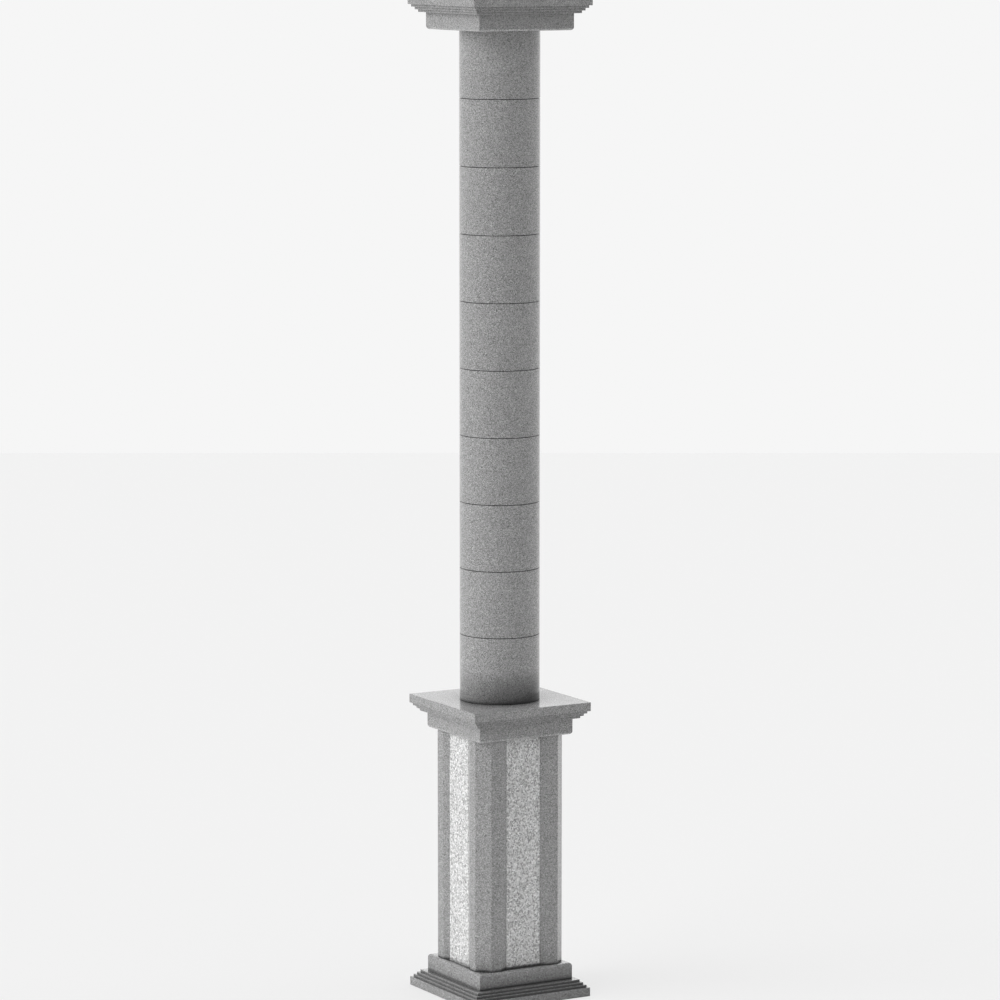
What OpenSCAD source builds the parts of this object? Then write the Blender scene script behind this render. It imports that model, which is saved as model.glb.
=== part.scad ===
// Granite column: a round shaft of stacked drums on a square pedestal, under a square capital.
// The plinth, the pedestal cap and the capital share one stepped moulding: the plinth stands
// on its slab, and the other two are the same moulding turned over, with the slab on top.
// Origin: centre of the plinth's underside. +Z is up, and the faces are square to X and Y.

/* [Moulding of the plinth, pedestal cap and capital] */
// Width of the slab, the moulding's widest course
slab_w = 600; // [480:10:900]
// Thickness of the slab
slab_t = 40; // [20:1:80]
// Number of small steps between the slab and the block
step_count = 3; // [1:1:5]
// How far each step stands back from the one before it
step_run = 11.5; // [6:0.5:16]
// Height of each step
step_rise = 11.5; // [6:0.5:20]
// Width of the flat ledge between the last step and the block
ledge_w = 25.5; // [10:0.5:40]
// Height of the block, the moulding's narrowest course
block_h = 75.5; // [50:0.5:120]
// Radius of the block's edge, on the side away from the slab
block_round = 14; // [4:1:30]

/* [Pedestal die] */
// Height of the die, from plinth to cap
die_h = 1050; // [600:10:1600]
// How far the die's faces stand back from the block's
die_setback = 15; // [5:1:30]
// Width of the flat that cuts off each corner
corner_w = 75; // [40:1:100]
// Width of the flat margin on each side of a recess
margin_w = 50; // [30:1:65]
// Width of the slanting reveal, from the margin to the panel
reveal_w = 34.5; // [15:0.5:45]
// Depth of the panel's face behind the die's face
reveal_depth = 14; // [5:1:30]

/* [Panels] */
// Thickness of each panel
panel_t = 25; // [12:1:40]
// Joint between each of a panel's side edges and the die
panel_joint = 1; // [0.5:0.1:3]

/* [Shaft] */
// Diameter of the shaft, the same from foot to top
shaft_d = 360; // [240:10:440]
// Number of drums
drum_count = 10; // [4:1:14]
// Height of each drum
drum_h = 300; // [200:10:450]
// Height of the cut round each end of a drum, so that two of them meet in a groove
joint_cut = 1.5; // [0.5:0.5:5]
// Depth of that cut behind the shaft's face
joint_depth = 5; // [1:0.5:15]

/* [Hidden] */
steps_w = step_count * step_run;
steps_h = step_count * step_rise;
block_w = slab_w - 2 * (steps_w + ledge_w);
moulding_h = slab_t + steps_h + block_h;

die_w = block_w - 2 * die_setback;
corner_leg = corner_w / sqrt(2);
face_w = die_w - 2 * corner_leg;
recess_w = face_w - 2 * margin_w;
panel_w = recess_w - 2 * reveal_w;

die_z = moulding_h;
cap_z = die_z + die_h;
shaft_z = cap_z + moulding_h;
capital_z = shaft_z + drum_count * drum_h;

// Each face's name, and how far it is turned from the front, which faces -Y.
FACES = [["front", 0], ["right", 90], ["back", 180], ["left", 270]];

dark_granite = [0.59, 0.59, 0.59];
light_granite = [0.80, 0.80, 0.80];
round_faces = 128;

// The moulding's outline seen from one side: slab, steps and block, from z = 0 up.
module moulding_outline() {
    translate([-slab_w / 2, 0]) square([slab_w, slab_t]);
    for (i = [1 : step_count]) {
        w = slab_w - 2 * i * step_run;
        translate([-w / 2, 0]) square([w, slab_t + i * step_rise]);
    }
    translate([-block_w / 2, 0]) square([block_w, moulding_h - block_round]);
    translate([-block_w / 2 + block_round, 0]) square([block_w - 2 * block_round, moulding_h]);
    for (side = [-1, 1])
        translate([side * (block_w / 2 - block_round), moulding_h - block_round])
            circle(r = block_round, $fn = round_faces);
}

// The outline run along X and along Y, and what the two runs share: a square, mitred moulding.
module moulding() {
    intersection_for (turn = [0, 90])
        rotate([0, 0, turn]) rotate([90, 0, 0])
            linear_extrude(slab_w, center = true) moulding_outline();
}

module plinth() {
    color(dark_granite) moulding();
}

module pedestal_cap() {
    color(dark_granite) translate([0, 0, cap_z + moulding_h]) mirror([0, 0, 1]) moulding();
}

module capital() {
    color(dark_granite) translate([0, 0, capital_z + moulding_h]) mirror([0, 0, 1]) moulding();
}

// One face of the die from left to right, as a line of points with the recess and the
// pocket that holds the panel, for the face turned to -Y.
function face_line() = [
    [-face_w / 2, -die_w / 2],
    [-recess_w / 2, -die_w / 2],
    [-panel_w / 2, -die_w / 2 + reveal_depth],
    [-panel_w / 2, -die_w / 2 + reveal_depth + panel_t],
    [panel_w / 2, -die_w / 2 + reveal_depth + panel_t],
    [panel_w / 2, -die_w / 2 + reveal_depth],
    [recess_w / 2, -die_w / 2],
    [face_w / 2, -die_w / 2]
];

function turned(p, a) = [p[0] * cos(a) - p[1] * sin(a), p[0] * sin(a) + p[1] * cos(a)];

module pedestal_die() {
    plan = [for (face = FACES) for (p = face_line()) turned(p, face[1])];
    color(dark_granite) translate([0, 0, die_z]) linear_extrude(die_h) polygon(plan);
}

// A panel stands in its pocket, its back against the die and its side edges a joint away.
module panel(turn) {
    color(light_granite) rotate([0, 0, turn])
        translate([-panel_w / 2 + panel_joint, -die_w / 2 + reveal_depth, die_z])
            cube([panel_w - 2 * panel_joint, panel_t, die_h]);
}

// Drums are counted from the foot of the shaft. Both ends of each are cut back round the
// rim, so that the drums bear on narrower beds and a fine groove runs round every joint.
module drum(i) {
    r = shaft_d / 2;
    bed_r = r - joint_depth;
    color(dark_granite) translate([0, 0, shaft_z + (i - 1) * drum_h])
        rotate_extrude($fn = round_faces)
            polygon([
                [0, 0], [bed_r, 0], [bed_r, joint_cut], [r, joint_cut],
                [r, drum_h - joint_cut], [bed_r, drum_h - joint_cut], [bed_r, drum_h], [0, drum_h]
            ]);
}

plinth();
pedestal_die();
for (face = FACES)
    panel(face[1]);
pedestal_cap();
for (i = [1 : drum_count])
    drum(i);
capital();
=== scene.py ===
from math import cos, pi, radians, sin

import bmesh
import bpy
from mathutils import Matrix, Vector


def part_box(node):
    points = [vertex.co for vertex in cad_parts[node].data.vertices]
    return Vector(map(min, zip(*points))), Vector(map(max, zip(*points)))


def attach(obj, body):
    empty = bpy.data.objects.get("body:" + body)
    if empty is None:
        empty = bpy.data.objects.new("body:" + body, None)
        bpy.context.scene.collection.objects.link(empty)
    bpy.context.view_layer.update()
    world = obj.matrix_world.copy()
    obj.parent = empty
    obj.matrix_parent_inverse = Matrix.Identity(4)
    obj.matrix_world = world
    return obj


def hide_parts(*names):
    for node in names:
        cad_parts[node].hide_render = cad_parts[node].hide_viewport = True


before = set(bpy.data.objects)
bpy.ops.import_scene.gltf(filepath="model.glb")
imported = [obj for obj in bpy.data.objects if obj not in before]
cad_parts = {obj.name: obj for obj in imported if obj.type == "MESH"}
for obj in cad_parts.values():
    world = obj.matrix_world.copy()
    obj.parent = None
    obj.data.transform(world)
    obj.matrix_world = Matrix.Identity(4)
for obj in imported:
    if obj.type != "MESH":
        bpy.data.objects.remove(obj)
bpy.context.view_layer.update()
print("frame loaded:", len(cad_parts), "stones")


# working on a piece
def chooseOnly(piece):
    bpy.ops.object.select_all(action="DESELECT")
    piece.select_set(True)
    bpy.context.view_layer.objects.active = piece


def openMesh(piece):
    chooseOnly(piece)
    bpy.ops.object.mode_set(mode="EDIT")
    bpy.ops.mesh.select_all(action="DESELECT")


def closeMesh():
    bpy.ops.object.mode_set(mode="OBJECT")


def pickFaces(piece, wanted):
    # leaves only the faces that pass the test selected
    bpy.ops.mesh.select_mode(type="FACE")
    bpy.ops.mesh.select_all(action="DESELECT")
    mesh = bmesh.from_edit_mesh(piece.data)
    for face in mesh.faces:
        if wanted(face.calc_center_median(), face.normal):
            face.select_set(True)
    bmesh.update_edit_mesh(piece.data)


def pickPoints(piece, wanted):
    bpy.ops.mesh.select_mode(type="VERT")
    bpy.ops.mesh.select_all(action="DESELECT")
    mesh = bmesh.from_edit_mesh(piece.data)
    for vertex in mesh.verts:
        if wanted(vertex.co):
            vertex.select_set(True)
    bmesh.update_edit_mesh(piece.data)


def pickEdges(piece, wanted):
    # the test gets an edge's two ends
    bpy.ops.mesh.select_mode(type="EDGE")
    bpy.ops.mesh.select_all(action="DESELECT")
    mesh = bmesh.from_edit_mesh(piece.data)
    for edge in mesh.edges:
        if wanted(edge.verts[0].co, edge.verts[1].co):
            edge.select_set(True)
    bmesh.update_edit_mesh(piece.data)


def looksUp(centre, normal):
    return normal.z > 0.9


def looksDown(centre, normal):
    return normal.z < -0.9


def pushOut(distance):
    # extrudes the selected faces straight up, or down if the distance is negative
    bpy.ops.mesh.extrude_region_move(TRANSFORM_OT_translate={"value": (0, 0, distance)})


def nearTo(a, b, slack=1e-4):
    return abs(a - b) < slack


def addBlock(name, size, centre):
    bpy.ops.object.select_all(action="DESELECT")
    bpy.ops.mesh.primitive_cube_add(size=1, location=centre, scale=size)
    piece = bpy.context.object
    piece.name = piece.data.name = name
    bpy.ops.object.transform_apply(location=True, rotation=True, scale=True)
    return piece


def applyAll(piece):
    chooseOnly(piece)
    for modifier in list(piece.modifiers):
        bpy.ops.object.modifier_apply(modifier=modifier.name)


def easeArrises(piece, width, segments=2, sharperThan=50):
    # a small round on every sharp edge, then flat faces that stay flat under smooth shading
    chooseOnly(piece)
    bevel = piece.modifiers.new("arris", "BEVEL")
    bevel.width = width
    bevel.segments = segments
    bevel.limit_method = "ANGLE"
    bevel.angle_limit = radians(sharperThan)
    bevel.miter_outer = "MITER_ARC"
    applyAll(piece)
    bpy.ops.object.shade_smooth()
    weighted = piece.modifiers.new("flatFaces", "WEIGHTED_NORMAL")
    weighted.weight = 80
    weighted.keep_sharp = True
    applyAll(piece)


def copyPiece(piece, name):
    twin = piece.copy()
    twin.data = piece.data.copy()
    twin.name = twin.data.name = name
    bpy.context.scene.collection.objects.link(twin)
    return twin


def turnPiece(piece, angle, axis, centre):
    # half turns and quarter turns of the whole mesh; the operator turns clockwise
    chooseOnly(piece)
    bpy.ops.transform.rotate(value=-angle, orient_axis=axis, center_override=centre)
    bpy.ops.object.transform_apply(location=True, rotation=True, scale=True)


def movePiece(piece, offset):
    chooseOnly(piece)
    bpy.ops.transform.translate(value=offset)
    bpy.ops.object.transform_apply(location=True, rotation=True, scale=True)


def numberStone(piece, number):
    # each stone is cut from its own place in the quarry, so its grain starts elsewhere
    stone = piece.data.attributes.new("stone", "FLOAT", "POINT")
    stone.data.foreach_set("value", [float(number)] * len(piece.data.vertices))


def placeStone(piece, node, finish):
    piece.data.materials.clear()
    piece.data.materials.append(finish)
    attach(piece, "root")
    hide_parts(node)


# granite
def addInput(group, name, kind, value=None):
    socket = group.interface.new_socket(name=name, in_out="INPUT", socket_type=kind)
    if value is not None:
        socket.default_value = value


def addOutput(group, name, kind):
    group.interface.new_socket(name=name, in_out="OUTPUT", socket_type=kind)


def addNode(tree, kind, place, **settings):
    node = tree.nodes.new(kind)
    node.location = place
    for name, value in settings.items():
        setattr(node, name, value)
    return node


def setValues(node, **values):
    for name, value in values.items():
        node.inputs[name].default_value = value


def addMath(tree, place, operation, first, second=None, third=None):
    node = addNode(tree, "ShaderNodeMath", place, operation=operation)
    for index, value in enumerate((first, second, third)):
        if value is None:
            continue
        if isinstance(value, (int, float)):
            node.inputs[index].default_value = value
        else:
            tree.links.new(value, node.inputs[index])
    return node.outputs[0]


grain = {
    "raggedness": 1.5,         # how far a crystal's edge wanders, in grain sizes
    "cloudsPerMetre": 14.0,
    "lean": 40,                # how far the crystals' long way leans, in degrees
    "apart": (1.37, 2.11, 0.83),    # from one stone's place in the quarry to the next, in metres
}


def buildGrainGroup():
    # crystals of three kinds, light, middle and dark, with clouds over them
    group = bpy.data.node_groups.new("graniteGrain", "ShaderNodeTree")
    addInput(group, "Vector", "NodeSocketVector")
    addInput(group, "Grain Size", "NodeSocketFloat", 0.003)
    addInput(group, "Light", "NodeSocketColor", (0.5, 0.5, 0.5, 1))
    addInput(group, "Middle", "NodeSocketColor", (0.25, 0.25, 0.25, 1))
    addInput(group, "Dark", "NodeSocketColor", (0.05, 0.05, 0.05, 1))
    addInput(group, "Light Share", "NodeSocketFloat", 0.25)
    addInput(group, "Dark Share", "NodeSocketFloat", 0.15)
    addInput(group, "Crystal Spread", "NodeSocketFloat", 0.3)
    addInput(group, "Clouding", "NodeSocketFloat", 0.05)
    addOutput(group, "Color", "NodeSocketColor")
    addOutput(group, "Dark Mask", "NodeSocketFloat")
    addOutput(group, "Height", "NodeSocketFloat")
    tree, links = group, group.links
    start = addNode(tree, "NodeGroupInput", (-1500, 0))
    end = addNode(tree, "NodeGroupOutput", (900, 0))

    perMetre = addMath(tree, (-1300, -200), "DIVIDE", 1.0, start.outputs["Grain Size"])

    # crystals are ragged, so the lattice is pulled about first
    ragged = addNode(tree, "ShaderNodeTexNoise", (-1100, 200))
    setValues(ragged, Detail=2.0, Roughness=0.6)
    links.new(start.outputs["Vector"], ragged.inputs["Vector"])
    links.new(perMetre, ragged.inputs["Scale"])
    centred = addNode(tree, "ShaderNodeVectorMath", (-900, 200), operation="SUBTRACT")
    links.new(ragged.outputs["Color"], centred.inputs[0])
    centred.inputs[1].default_value = (0.5, 0.5, 0.5)
    pull = addNode(tree, "ShaderNodeVectorMath", (-720, 200), operation="SCALE")
    links.new(centred.outputs[0], pull.inputs[0])
    wander = addMath(tree, (-900, 40), "MULTIPLY", start.outputs["Grain Size"], grain["raggedness"])
    links.new(wander, pull.inputs["Scale"])
    lattice = addNode(tree, "ShaderNodeVectorMath", (-540, 200), operation="ADD")
    links.new(start.outputs["Vector"], lattice.inputs[0])
    links.new(pull.outputs[0], lattice.inputs[1])

    crystals = addNode(tree, "ShaderNodeTexVoronoi", (-340, 200))
    crystals.inputs["Randomness"].default_value = 1.0
    links.new(lattice.outputs[0], crystals.inputs["Vector"])
    links.new(perMetre, crystals.inputs["Scale"])
    kind = addNode(tree, "ShaderNodeSeparateColor", (-140, 200))
    links.new(crystals.outputs["Color"], kind.inputs[0])

    darkMask = addMath(tree, (60, 320), "LESS_THAN", kind.outputs["Red"], start.outputs["Dark Share"])
    lightEdge = addMath(tree, (60, 160), "SUBTRACT", 1.0, start.outputs["Light Share"])
    lightMask = addMath(tree, (220, 160), "GREATER_THAN", kind.outputs["Red"], lightEdge)

    middleOrLight = addNode(tree, "ShaderNodeMix", (380, 160), data_type="RGBA")
    links.new(lightMask, middleOrLight.inputs["Factor"])
    links.new(start.outputs["Middle"], middleOrLight.inputs["A"])
    links.new(start.outputs["Light"], middleOrLight.inputs["B"])
    withDark = addNode(tree, "ShaderNodeMix", (540, 160), data_type="RGBA")
    links.new(darkMask, withDark.inputs["Factor"])
    links.new(middleOrLight.outputs["Result"], withDark.inputs["A"])
    links.new(start.outputs["Dark"], withDark.inputs["B"])

    # every crystal a little lighter or darker than its kind, and slow clouds through the stone
    spread = addMath(tree, (60, -60), "MULTIPLY_ADD", kind.outputs["Green"], 2.0, -1.0)
    spread = addMath(tree, (220, -60), "MULTIPLY_ADD", spread, start.outputs["Crystal Spread"], 1.0)
    clouds = addNode(tree, "ShaderNodeTexNoise", (-140, -260))
    setValues(clouds, Scale=grain["cloudsPerMetre"], Detail=3.0, Roughness=0.55)
    links.new(start.outputs["Vector"], clouds.inputs["Vector"])
    drift = addMath(tree, (60, -260), "MULTIPLY_ADD", clouds.outputs["Fac"], 2.0, -1.0)
    drift = addMath(tree, (220, -260), "MULTIPLY_ADD", drift, start.outputs["Clouding"], 1.0)
    tone = addMath(tree, (380, -120), "MULTIPLY", spread, drift)
    toned = addNode(tree, "ShaderNodeVectorMath", (720, 160), operation="SCALE")
    links.new(withDark.outputs["Result"], toned.inputs[0])
    links.new(tone, toned.inputs["Scale"])

    links.new(toned.outputs[0], end.inputs["Color"])
    links.new(darkMask, end.inputs["Dark Mask"])
    hollows = addNode(tree, "ShaderNodeTexNoise", (380, -360))
    setValues(hollows, Detail=1.5, Roughness=0.5)
    links.new(start.outputs["Vector"], hollows.inputs["Vector"])
    links.new(perMetre, hollows.inputs["Scale"])
    links.new(hollows.outputs["Fac"], end.inputs["Height"])
    return group


# painted shade and light in the stone's colour: darker where a neighbour blocks the light, on one side
# and near the ground, lighter on faces that look down
paintedShade = {
    "reach": 0.16,     # how far a ledge or a wall darkens the stone beside it with painted shade
    "lean": 0.8,       # the feelers lean downwards, so what lies underneath counts for more in the painted shade
    "flatOpenness": 0.89,    # how open a flat upright face is when it is leaned by that much
    "hardness": 1.4,
    "creviceReach": 0.014,
    "creviceHardness": 1.8,
    "creviceAmount": 0.85,
    "groundShadeHeight": 0.13,
    "groundShadeAmount": 0.27,
    "shadedSide": 45,     # the side that is painted darker, in degrees from the front towards the right
    "sideShading": 0.5,     # how much more painted shade that side carries, and how much less the other
    "underside": 0.25,     # what is left of the painted shade on a face that looks down
    "upside": 1.5,         # and how much more painted shade lies on a face that looks up
    "undersideLight": 1.33,       # painted light: a face that looks down is painted lighter, as if lit from below
    "leastLeft": 0.05,     # share of the stone's own tone left under the darkest painted shade
    "feelers": 8,          # rays that feel for a neighbour
}


def buildPaintedShadeGroup():
    # painted shade: darker in corners and at the foot of a wall, in open joints and near the ground;
    # lighter on faces that look down
    group = bpy.data.node_groups.new("paintedCornerShade", "ShaderNodeTree")
    addInput(group, "Color", "NodeSocketColor", (0.5, 0.5, 0.5, 1))
    addInput(group, "Openness", "NodeSocketFloat", 1.0)
    addInput(group, "Hardness", "NodeSocketFloat", 1.4)
    addInput(group, "Amount", "NodeSocketFloat", 0.9)
    addInput(group, "Crevice Openness", "NodeSocketFloat", 1.0)
    addInput(group, "Crevice Hardness", "NodeSocketFloat", 2.0)
    addInput(group, "Crevice Amount", "NodeSocketFloat", 0.9)
    addInput(group, "Above Ground", "NodeSocketFloat", 1.0)
    addInput(group, "Ground Shade Height", "NodeSocketFloat", 0.13)
    addInput(group, "Ground Shade Amount", "NodeSocketFloat", 0.3)
    addInput(group, "Side Shade", "NodeSocketFloat", 1.0)
    addInput(group, "Tone", "NodeSocketFloat", 1.0)
    addOutput(group, "Color", "NodeSocketColor")
    start = addNode(group, "NodeGroupInput", (-800, 0))
    end = addNode(group, "NodeGroupOutput", (900, 0))
    given = start.outputs

    # share of the colour left after the painted shade
    def keptShare(place, openness, hardness, amount):
        unshaded = addMath(group, place, "POWER", openness, hardness)
        darkening = addMath(group, (place[0] + 160, place[1]), "SUBTRACT", 1.0, unshaded)
        darkening = addMath(group, (place[0] + 320, place[1]), "MULTIPLY", darkening, amount)
        darkening = addMath(group, (place[0] + 400, place[1] - 80), "MULTIPLY", darkening, given["Side Shade"])
        kept = addMath(group, (place[0] + 480, place[1]), "SUBTRACT", 1.0, darkening)
        return addMath(group, (place[0] + 560, place[1]), "MAXIMUM", kept, paintedShade["leastLeft"])

    def fromFlat(place, openness):
        # a flat upright face counts as wholly open
        level = addNode(group, "ShaderNodeMapRange", place)
        setValues(level, **{"From Max": paintedShade["flatOpenness"]})
        group.links.new(openness, level.inputs["Value"])
        return level.outputs["Result"]

    cornerOpen = fromFlat((-500, 200), given["Openness"])
    corner = keptShare((-300, 200), cornerOpen, given["Hardness"], given["Amount"])
    creviceOpen = fromFlat((-500, 0), given["Crevice Openness"])
    crevice = keptShare((-300, 0), creviceOpen, given["Crevice Hardness"], given["Crevice Amount"])
    # painted shade: darker near the ground
    nearGround = addNode(group, "ShaderNodeMapRange", (-500, -300), interpolation_type="SMOOTHSTEP")
    group.links.new(given["Above Ground"], nearGround.inputs["Value"])
    group.links.new(given["Ground Shade Height"], nearGround.inputs["From Max"])
    ground = keptShare((-300, -300), nearGround.outputs["Result"], 1.0, given["Ground Shade Amount"])
    kept = addMath(group, (400, 100), "MULTIPLY", corner, crevice)
    kept = addMath(group, (480, 0), "MULTIPLY", kept, ground)
    kept = addMath(group, (600, 0), "MULTIPLY", kept, given["Tone"])
    toned = addNode(group, "ShaderNodeVectorMath", (720, 0), operation="SCALE")
    group.links.new(given["Color"], toned.inputs[0])
    group.links.new(kept, toned.inputs["Scale"])
    group.links.new(toned.outputs[0], end.inputs["Color"])
    return group


grainGroup = buildGrainGroup()
paintedShadeGroup = buildPaintedShadeGroup()

darkGranite = {
    "grainSize": 0.0026,
    "light": 0.50,
    "middle": 0.300,
    "dark": 0.125,
    "lightShare": 0.16,
    "darkShare": 0.18,
    "crystalSpread": 0.17,
    "clouding": 0.08,
    "roughness": 0.12,
    "darkRoughness": 0.18,
    "ior": 1.56,
    "bump": 0.1,
    "bumpDepth": 0.0001,
    "stretch": 1.0,
    # how strongly the painted shade darkens this stone
    "paintedShadeAmount": 0.75,
}

lightGranite = {
    "grainSize": 0.0050,
    "light": 0.80,
    "middle": 0.63,
    "dark": 0.34,
    "lightShare": 0.34,
    "darkShare": 0.28,
    "crystalSpread": 0.20,
    "clouding": 0.04,
    "roughness": 0.62,
    "darkRoughness": 0.5,
    "ior": 1.35,
    "bump": 1.0,
    "bumpDepth": 0.0010,
    "stretch": 1.2,
    # how strongly the painted shade darkens this stone
    "paintedShadeAmount": 0.3,
}

def grey(tone):
    return (tone, tone, tone, 1)


def buildGranite(name, look):
    material = bpy.data.materials.new(name)
    material.use_nodes = True
    tree, links = material.node_tree, material.node_tree.links
    tree.nodes.clear()
    output = addNode(tree, "ShaderNodeOutputMaterial", (900, 0))
    stone = addNode(tree, "ShaderNodeBsdfPrincipled", (600, 0))
    links.new(stone.outputs["BSDF"], output.inputs["Surface"])
    setValues(stone, IOR=look["ior"])

    # where in the quarry: the object's own coordinates, shifted by the stone's number
    place = addNode(tree, "ShaderNodeTexCoord", (-1100, 0))
    number = addNode(tree, "ShaderNodeAttribute", (-1100, -260), attribute_name="stone")
    shift = addNode(tree, "ShaderNodeVectorMath", (-900, -200), operation="SCALE")
    shift.inputs[0].default_value = grain["apart"]
    links.new(number.outputs["Fac"], shift.inputs["Scale"])
    inStone = addNode(tree, "ShaderNodeVectorMath", (-720, 0), operation="ADD")
    links.new(place.outputs["Object"], inStone.inputs[0])
    links.new(shift.outputs[0], inStone.inputs[1])
    along = addNode(tree, "ShaderNodeMapping", (-540, 0))
    along.inputs["Rotation"].default_value = (radians(grain["lean"]), radians(grain["lean"]), 0)
    along.inputs["Scale"].default_value = (1, 1, 1 / look["stretch"])
    links.new(inStone.outputs[0], along.inputs["Vector"])

    crystals = addNode(tree, "ShaderNodeGroup", (-300, 0), node_tree=grainGroup)
    links.new(along.outputs[0], crystals.inputs["Vector"])
    setValues(crystals, **{
        "Grain Size": look["grainSize"],
        "Light": grey(look["light"]),
        "Middle": grey(look["middle"]),
        "Dark": grey(look["dark"]),
        "Light Share": look["lightShare"],
        "Dark Share": look["darkShare"],
        "Crystal Spread": look["crystalSpread"],
        "Clouding": look["clouding"],
    })

    # painted shade: where the stone is sheltered it is darkened, felt along the surface's own direction
    # leaned downwards
    surface = addNode(tree, "ShaderNodeNewGeometry", (-900, 500))
    leaned = addNode(tree, "ShaderNodeVectorMath", (-700, 500), operation="ADD")
    leaned.inputs[1].default_value = (0, 0, -paintedShade["lean"])
    links.new(surface.outputs["Normal"], leaned.inputs[0])
    direction = addNode(tree, "ShaderNodeVectorMath", (-520, 500), operation="NORMALIZE")
    links.new(leaned.outputs[0], direction.inputs[0])
    openness = addNode(tree, "ShaderNodeAmbientOcclusion", (-340, 500), samples=paintedShade["feelers"])
    openness.inputs["Distance"].default_value = paintedShade["reach"]
    links.new(direction.outputs[0], openness.inputs["Normal"])
    paintedShadeNode = addNode(tree, "ShaderNodeGroup", (0, 300), node_tree=paintedShadeGroup)
    links.new(crystals.outputs["Color"], paintedShadeNode.inputs["Color"])
    links.new(openness.outputs["AO"], paintedShadeNode.inputs["Openness"])
    crevice = addNode(tree, "ShaderNodeAmbientOcclusion", (-340, 760), samples=paintedShade["feelers"])
    crevice.inputs["Distance"].default_value = paintedShade["creviceReach"]
    links.new(direction.outputs[0], crevice.inputs["Normal"])
    links.new(crevice.outputs["AO"], paintedShadeNode.inputs["Crevice Openness"])
    height = addNode(tree, "ShaderNodeSeparateXYZ", (-340, 280))
    links.new(place.outputs["Object"], height.inputs[0])
    links.new(height.outputs["Z"], paintedShadeNode.inputs["Above Ground"])
    # painted shade by side: faces towards that side are darkened more, faces away from it less
    towardsShadedSide = addNode(tree, "ShaderNodeVectorMath", (-700, 700), operation="DOT_PRODUCT")
    shadedFrom = radians(paintedShade["shadedSide"])
    towardsShadedSide.inputs[1].default_value = (sin(shadedFrom), -cos(shadedFrom), 0)
    links.new(surface.outputs["Normal"], towardsShadedSide.inputs[0])
    facing = addNode(tree, "ShaderNodeSeparateXYZ", (-900, 1000))
    links.new(surface.outputs["Normal"], facing.inputs[0])

    def byFacing(place, start, end, first, last):
        # first for a face at the start of the range from looking down (-1) to looking up (1)
        ramp = addNode(tree, "ShaderNodeMapRange", place)
        setValues(ramp, **{"From Min": start, "From Max": end, "To Min": first, "To Max": last})
        links.new(facing.outputs["Z"], ramp.inputs["Value"])
        return ramp.outputs["Result"]

    sideShade = addMath(tree, (-520, 700), "MULTIPLY_ADD", towardsShadedSide.outputs["Value"], paintedShade["sideShading"], 1.0)
    # less painted shade on faces that look down, more on faces that look up
    below = byFacing((-520, 900), -0.6, -0.1, paintedShade["underside"], 1)
    above = byFacing((-520, 1150), 0.2, 0.7, 1, paintedShade["upside"])
    sideShade = addMath(tree, (-340, 1000), "MULTIPLY", sideShade, below)
    links.new(addMath(tree, (-180, 1000), "MULTIPLY", sideShade, above), paintedShadeNode.inputs["Side Shade"])
    # painted light: faces that look down are painted lighter
    links.new(byFacing((-520, 1400), -0.6, -0.1, paintedShade["undersideLight"], 1), paintedShadeNode.inputs["Tone"])
    setValues(paintedShadeNode, **{
        "Hardness": paintedShade["hardness"],
        "Amount": look["paintedShadeAmount"],
        "Crevice Hardness": paintedShade["creviceHardness"],
        "Crevice Amount": paintedShade["creviceAmount"],
        "Ground Shade Height": paintedShade["groundShadeHeight"],
        "Ground Shade Amount": paintedShade["groundShadeAmount"],
    })
    # the stone's colour carries the painted shade and the painted light
    links.new(paintedShadeNode.outputs["Color"], stone.inputs["Base Color"])

    rough = addNode(tree, "ShaderNodeMapRange", (100, -200))
    setValues(rough, **{"To Min": look["roughness"], "To Max": look["darkRoughness"]})
    links.new(crystals.outputs["Dark Mask"], rough.inputs["Value"])
    links.new(rough.outputs["Result"], stone.inputs["Roughness"])

    bump = addNode(tree, "ShaderNodeBump", (300, -400))
    setValues(bump, Strength=look["bump"], Distance=look["bumpDepth"])
    links.new(crystals.outputs["Height"], bump.inputs["Height"])
    links.new(bump.outputs["Normal"], stone.inputs["Normal"])
    return material


darkStone = buildGranite("darkGranite", darkGranite)
lightStone = buildGranite("lightGranite", lightGranite)
print("granite mixed")


# plinth, cap and capital
moulding = {
    "slabThick": 0.040,
    "stepCount": 3,
    "stepRun": 0.0115,
    "stepRise": 0.0115,
    "ledge": 0.0255,
    "blockRound": 0.014,
    "roundSegments": 8,
    "arris": 0.0012,
}


def buildMoulding(name, node):
    low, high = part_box(node)
    wide, deep, tall = high - low
    slab = moulding["slabThick"]
    piece = addBlock(name, (wide, deep, slab), (0, 0, low.z + slab / 2))

    openMesh(piece)
    pickFaces(piece, looksUp)
    for step in range(moulding["stepCount"]):
        bpy.ops.mesh.inset(thickness=moulding["stepRun"])
        pushOut(moulding["stepRise"])
    bpy.ops.mesh.inset(thickness=moulding["ledge"])
    pushOut(tall - slab - moulding["stepCount"] * moulding["stepRise"])

    pickEdges(piece, lambda a, b: nearTo(a.z, high.z) and nearTo(b.z, high.z))
    bpy.ops.mesh.bevel(offset=moulding["blockRound"], segments=moulding["roundSegments"],
                       profile=0.5, affect="EDGES")
    closeMesh()
    easeArrises(piece, moulding["arris"])
    return piece


plinthStone = buildMoulding("plinthStone", "plinth")
plinthLow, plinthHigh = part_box("plinth")
middle = (plinthLow + plinthHigh) / 2

capStone = copyPiece(plinthStone, "capStone")
turnPiece(capStone, pi, "X", middle)
movePiece(capStone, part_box("pedestal_cap")[0] - plinthLow)

capitalStone = copyPiece(capStone, "capitalStone")
movePiece(capitalStone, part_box("capital")[0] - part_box("pedestal_cap")[0])

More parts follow.
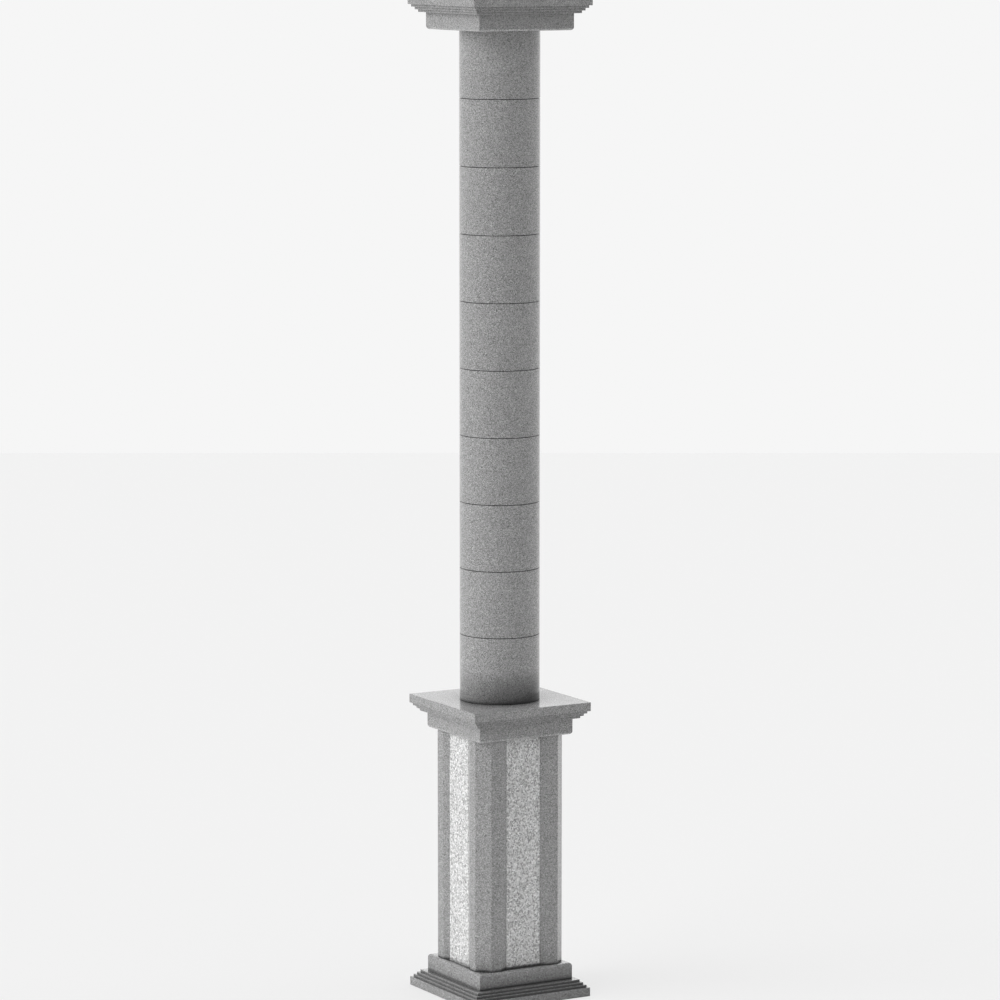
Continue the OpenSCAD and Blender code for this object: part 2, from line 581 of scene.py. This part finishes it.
numberStone(plinthStone, 1)
numberStone(capStone, 2)
numberStone(capitalStone, 3)
placeStone(plinthStone, "plinth", darkStone)
placeStone(capStone, "pedestal_cap", darkStone)
placeStone(capitalStone, "capital", darkStone)
print("mouldings cut")


# pedestal die
die = {
    "cornerFlat": 0.075,
    "margin": 0.050,
    "reveal": 0.0345,
    "revealDepth": 0.014,
    "pocketDepth": 0.025,
    "arris": 0.0012,
    "footRound": 0.003,
}
dieLow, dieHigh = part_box("pedestal_die")
dieHalf = dieHigh.x
cornerLeg = die["cornerFlat"] / 2 ** 0.5
recessHalf = dieHalf - cornerLeg - die["margin"]
panelHalf = recessHalf - die["reveal"]


def cutPlan(piece, place, normal):
    bpy.ops.mesh.select_all(action="SELECT")
    bpy.ops.mesh.bisect(plane_co=place, plane_no=normal)


def buildDie(name):
    # the plan is drawn flat at the foot of the stone and then pulled up to its full height
    bpy.ops.object.select_all(action="DESELECT")
    bpy.ops.mesh.primitive_plane_add(size=2 * dieHalf, location=(0, 0, dieLow.z))
    piece = bpy.context.object
    piece.name = piece.data.name = name
    bpy.ops.object.transform_apply(location=True, rotation=True, scale=True)

    openMesh(piece)
    bpy.ops.mesh.select_mode(type="VERT")
    bpy.ops.mesh.select_all(action="SELECT")
    bpy.ops.mesh.bevel(offset=cornerLeg, segments=1, affect="VERTICES")

    pocketFloor = dieHalf - die["revealDepth"] - die["pocketDepth"]
    for axis in ((1, 0, 0), (0, 1, 0)):
        for offset in (recessHalf, panelHalf, pocketFloor):
            for side in (-1, 1):
                cutPlan(piece, Vector(axis) * offset * side, axis)

    # the strip in front of each pocket's floor goes, then the reveals slant back to it
    pickFaces(piece, lambda centre, normal: max(abs(centre.x), abs(centre.y)) > pocketFloor
              and min(abs(centre.x), abs(centre.y)) < panelHalf)
    bpy.ops.mesh.delete(type="FACE")
    for side in (-1, 1):
        back = -side * die["revealDepth"]
        pickPoints(piece, lambda at: nearTo(abs(at.x), panelHalf) and nearTo(at.y, side * dieHalf))
        bpy.ops.transform.translate(value=(0, back, 0))
        pickPoints(piece, lambda at: nearTo(abs(at.y), panelHalf) and nearTo(at.x, side * dieHalf))
        bpy.ops.transform.translate(value=(back, 0, 0))

    bpy.ops.mesh.select_mode(type="FACE")
    bpy.ops.mesh.select_all(action="SELECT")
    pushOut(dieHigh.z - dieLow.z)
    bpy.ops.mesh.select_all(action="SELECT")
    bpy.ops.mesh.normals_make_consistent(inside=False)
    bpy.ops.mesh.dissolve_limited(angle_limit=radians(0.5))
    # the foot is rounded back a little, and the joint on the plinth shows as a line
    pickEdges(piece, lambda a, b: nearTo(a.z, dieLow.z) and nearTo(b.z, dieLow.z))
    bpy.ops.mesh.bevel(offset=die["footRound"], segments=3, profile=0.5, affect="EDGES")
    closeMesh()
    easeArrises(piece, die["arris"], sharperThan=15)
    return piece


dieStone = buildDie("dieStone")
numberStone(dieStone, 4)
placeStone(dieStone, "pedestal_die", darkStone)
print("die cut")


# panels
panel = {
    "columns": 58,
    "rows": 350,
    "relief": 0.0018,
    "crystal": 0.008,
    "level": 0.9,        # the part of the relief that lies behind the arris
    "sharperThan": 50,   # edges that stay sharp, in degrees
}


def buildPanel(name, node):
    low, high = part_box(node)
    wide, thick, tall = high - low
    # the face is a fine grid lying flat, given its thickness and then stood up
    bpy.ops.object.select_all(action="DESELECT")
    bpy.ops.mesh.primitive_grid_add(x_subdivisions=panel["columns"], y_subdivisions=panel["rows"], size=1)
    piece = bpy.context.object
    piece.name = piece.data.name = name
    piece.scale = (wide, tall, 1)
    bpy.ops.object.transform_apply(location=True, rotation=True, scale=True)

    openMesh(piece)
    bpy.ops.mesh.select_all(action="SELECT")
    pushOut(thick)
    bpy.ops.mesh.select_all(action="SELECT")
    bpy.ops.mesh.normals_make_consistent(inside=False)
    pickFaces(piece, looksDown)
    bpy.ops.mesh.dissolve_limited(angle_limit=radians(1))
    closeMesh()

    # worked face: hollows between the crystals, none of them proud of the arris
    face = piece.vertex_groups.new(name="face")
    inner = [v.index for v in piece.data.vertices
             if v.co.z > thick / 2 and abs(v.co.x) < wide / 2 - 1e-4 and abs(v.co.y) < tall / 2 - 1e-4]
    face.add(inner, 1.0, "REPLACE")
    hollows = bpy.data.textures.new("hollows", "CLOUDS")
    hollows.noise_scale = panel["crystal"]
    hollows.noise_depth = 2
    displace = piece.modifiers.new("worked", "DISPLACE")
    displace.texture = hollows
    displace.texture_coords = "LOCAL"
    displace.vertex_group = "face"
    displace.strength = panel["relief"]
    displace.mid_level = panel["level"]
    applyAll(piece)

    turnPiece(piece, pi / 2, "X", (0, 0, 0))
    frontNow = min(vertex.co.y for vertex in piece.data.vertices)
    footNow = min(vertex.co.z for vertex in piece.data.vertices)
    movePiece(piece, ((low.x + high.x) / 2, low.y - frontNow, low.z - footNow))
    return piece


panelStone = buildPanel("panelStoneFront", "panel_front")
panels = {"front": panelStone}
for face, angle in (("right", pi / 2), ("back", pi), ("left", -pi / 2)):
    panels[face] = copyPiece(panelStone, "panelStone" + face.capitalize())
    turnPiece(panels[face], angle, "Z", (0, 0, 0))
for index, (face, piece) in enumerate(panels.items()):
    numberStone(piece, 5 + index)
    placeStone(piece, "panel_" + face, lightStone)
    chooseOnly(piece)
    bpy.ops.object.shade_smooth_by_angle(angle=radians(panel["sharperThan"]))
print("panels worked")


# shaft
drum = {
    "sides": 192,
    "jointCut": 0.0015,
    "jointDepth": 0.005,
    "arris": 0.0007,
}


def buildDrum(name, node):
    # the wide part first, then a narrower bed at each end
    low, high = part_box(node)
    cut = drum["jointCut"]
    bpy.ops.object.select_all(action="DESELECT")
    bpy.ops.mesh.primitive_cylinder_add(vertices=drum["sides"], radius=high.x,
                                        depth=high.z - low.z - 2 * cut,
                                        location=(0, 0, (low.z + high.z) / 2))
    piece = bpy.context.object
    piece.name = piece.data.name = name
    bpy.ops.object.transform_apply(location=True, rotation=True, scale=True)
    openMesh(piece)
    for bed, outwards in ((looksUp, 1), (looksDown, -1)):
        pickFaces(piece, bed)
        bpy.ops.mesh.inset(thickness=drum["jointDepth"])
        pushOut(cut * outwards)
    closeMesh()
    easeArrises(piece, drum["arris"])
    return piece


drumNodes = sorted((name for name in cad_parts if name.startswith("drum_")),
                   key=lambda name: int(name.split("_")[1]))
drums = [buildDrum("drumStone1", drumNodes[0])]
for index in range(1, len(drumNodes)):
    drums.append(copyPiece(drums[0], "drumStone%d" % (index + 1)))
for index, (piece, node) in enumerate(zip(drums, drumNodes)):
    movePiece(piece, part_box(node)[0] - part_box(drumNodes[0])[0])
    numberStone(piece, 10 + index)
    placeStone(piece, node, darkStone)
print("drums turned:", len(drumNodes))


# studio
studio = {
    "floorHalf": 19.8,
    "floorTone": 0.86,
    "floorSeen": 0.885,    # tone of the floor before its shadow
    "shadowShare": 0.27,   # how much of the floor's own shading is seen
    "wallTone": 0.921,
    "turn": -29.945,
}
# each lamp's side of the column (0 front, 90 right), its height in degrees and its strength
lamps = {
    "keyLamp": (-90, 30, 0.576),
    "keyLampBack": (-120, 30, 0.352),
    "rightLamp": (90, 30, 0.29),
    "backLamp": (150, 41, 0.24),
    "topLamp": (30, 60, 0.328),
}
lampSpread = 60
mirroredLamp = "backLamp"    # the only lamp that shows in the polish

bpy.ops.object.select_all(action="DESELECT")
bpy.ops.mesh.primitive_plane_add(size=2 * studio["floorHalf"], location=(0, 0, 0),
                                 rotation=(0, 0, radians(studio["turn"])))
floor = bpy.context.object
floor.name = "floor"
floor.visible_shadow = False


def addSeen(tree, place):
    # 1 for what is looked at, mirrored or seen through, 0 for what only lights the stone
    ray = addNode(tree, "ShaderNodeLightPath", place)
    seen = addMath(tree, (place[0] + 180, place[1]), "MAXIMUM", ray.outputs["Is Camera Ray"],
                   ray.outputs["Is Glossy Ray"])
    return addMath(tree, (place[0] + 340, place[1]), "MAXIMUM", seen, ray.outputs["Is Transmission Ray"])


def buildPaper():
    # a white floor that keeps part of its shadow
    paper = bpy.data.materials.new("studioPaper")
    paper.use_nodes = True
    tree, links = paper.node_tree, paper.node_tree.links
    shader = tree.nodes["Principled BSDF"]
    setValues(shader, **{
        "Base Color": grey(studio["floorTone"]),
        "Roughness": 0.9,
        "Specular IOR Level": 0.0,
    })
    seen = addSeen(tree, (-700, 400))
    bright = addNode(tree, "ShaderNodeEmission", (0, 300))
    setValues(bright, Color=grey(studio["floorSeen"]), Strength=1.0)
    share = addMath(tree, (-200, 400), "MULTIPLY", seen, 1 - studio["shadowShare"])
    mixed = addNode(tree, "ShaderNodeMixShader", (300, 200))
    links.new(share, mixed.inputs[0])
    links.new(shader.outputs["BSDF"], mixed.inputs[1])
    links.new(bright.outputs[0], mixed.inputs[2])
    links.new(mixed.outputs[0], tree.nodes["Material Output"].inputs["Surface"])
    return paper


floor.data.materials.append(buildPaper())


def addLamp(name, side, height, strength):
    bpy.ops.object.select_all(action="DESELECT")
    bpy.ops.object.light_add(type="SUN", location=(0, 0, 8))
    lamp = bpy.context.object
    lamp.name = name
    lamp.data.energy = strength * pi
    lamp.data.angle = radians(lampSpread)
    lamp.visible_glossy = name == mirroredLamp
    towards = Vector((sin(radians(side)) * cos(radians(height)),
                      -cos(radians(side)) * cos(radians(height)), sin(radians(height))))
    lamp.rotation_euler = towards.to_track_quat("Z", "Y").to_euler()


for name, (side, height, strength) in lamps.items():
    addLamp(name, side, height, strength)

# the world is a white room to the eye and in the polish; the lamps do the lighting
world = bpy.data.worlds.new("studioWorld")
bpy.context.scene.world = world
world.use_nodes = True
room = world.node_tree
room.nodes.clear()
roomOut = addNode(room, "ShaderNodeOutputWorld", (600, 0))
wall = addNode(room, "ShaderNodeBackground", (400, 0))
setValues(wall, Color=grey(studio["wallTone"]))
room.links.new(addSeen(room, (-300, 0)), wall.inputs["Strength"])
room.links.new(wall.outputs[0], roomOut.inputs["Surface"])
print("studio lit")


# camera
view = {
    "side": 29.941,      # degrees round from the front towards the left
    "distance": 20.2375,
    "height": 4.981,
    "tilt": 7.6825,
    "turn": -29.945,
    "lens": 163.94,
    "sensor": 36,
    "reach": 200,
}
bpy.ops.object.select_all(action="DESELECT")
bpy.ops.object.camera_add(location=(-view["distance"] * sin(radians(view["side"])),
                                    -view["distance"] * cos(radians(view["side"])), view["height"]),
                          rotation=(radians(90 - view["tilt"]), 0, radians(view["turn"])))
camera = bpy.context.object
camera.name = "camera"
camera.data.lens = view["lens"]
camera.data.sensor_width = view["sensor"]
camera.data.clip_end = view["reach"]
bpy.context.scene.camera = camera
bpy.context.scene.view_settings.view_transform = "Standard"
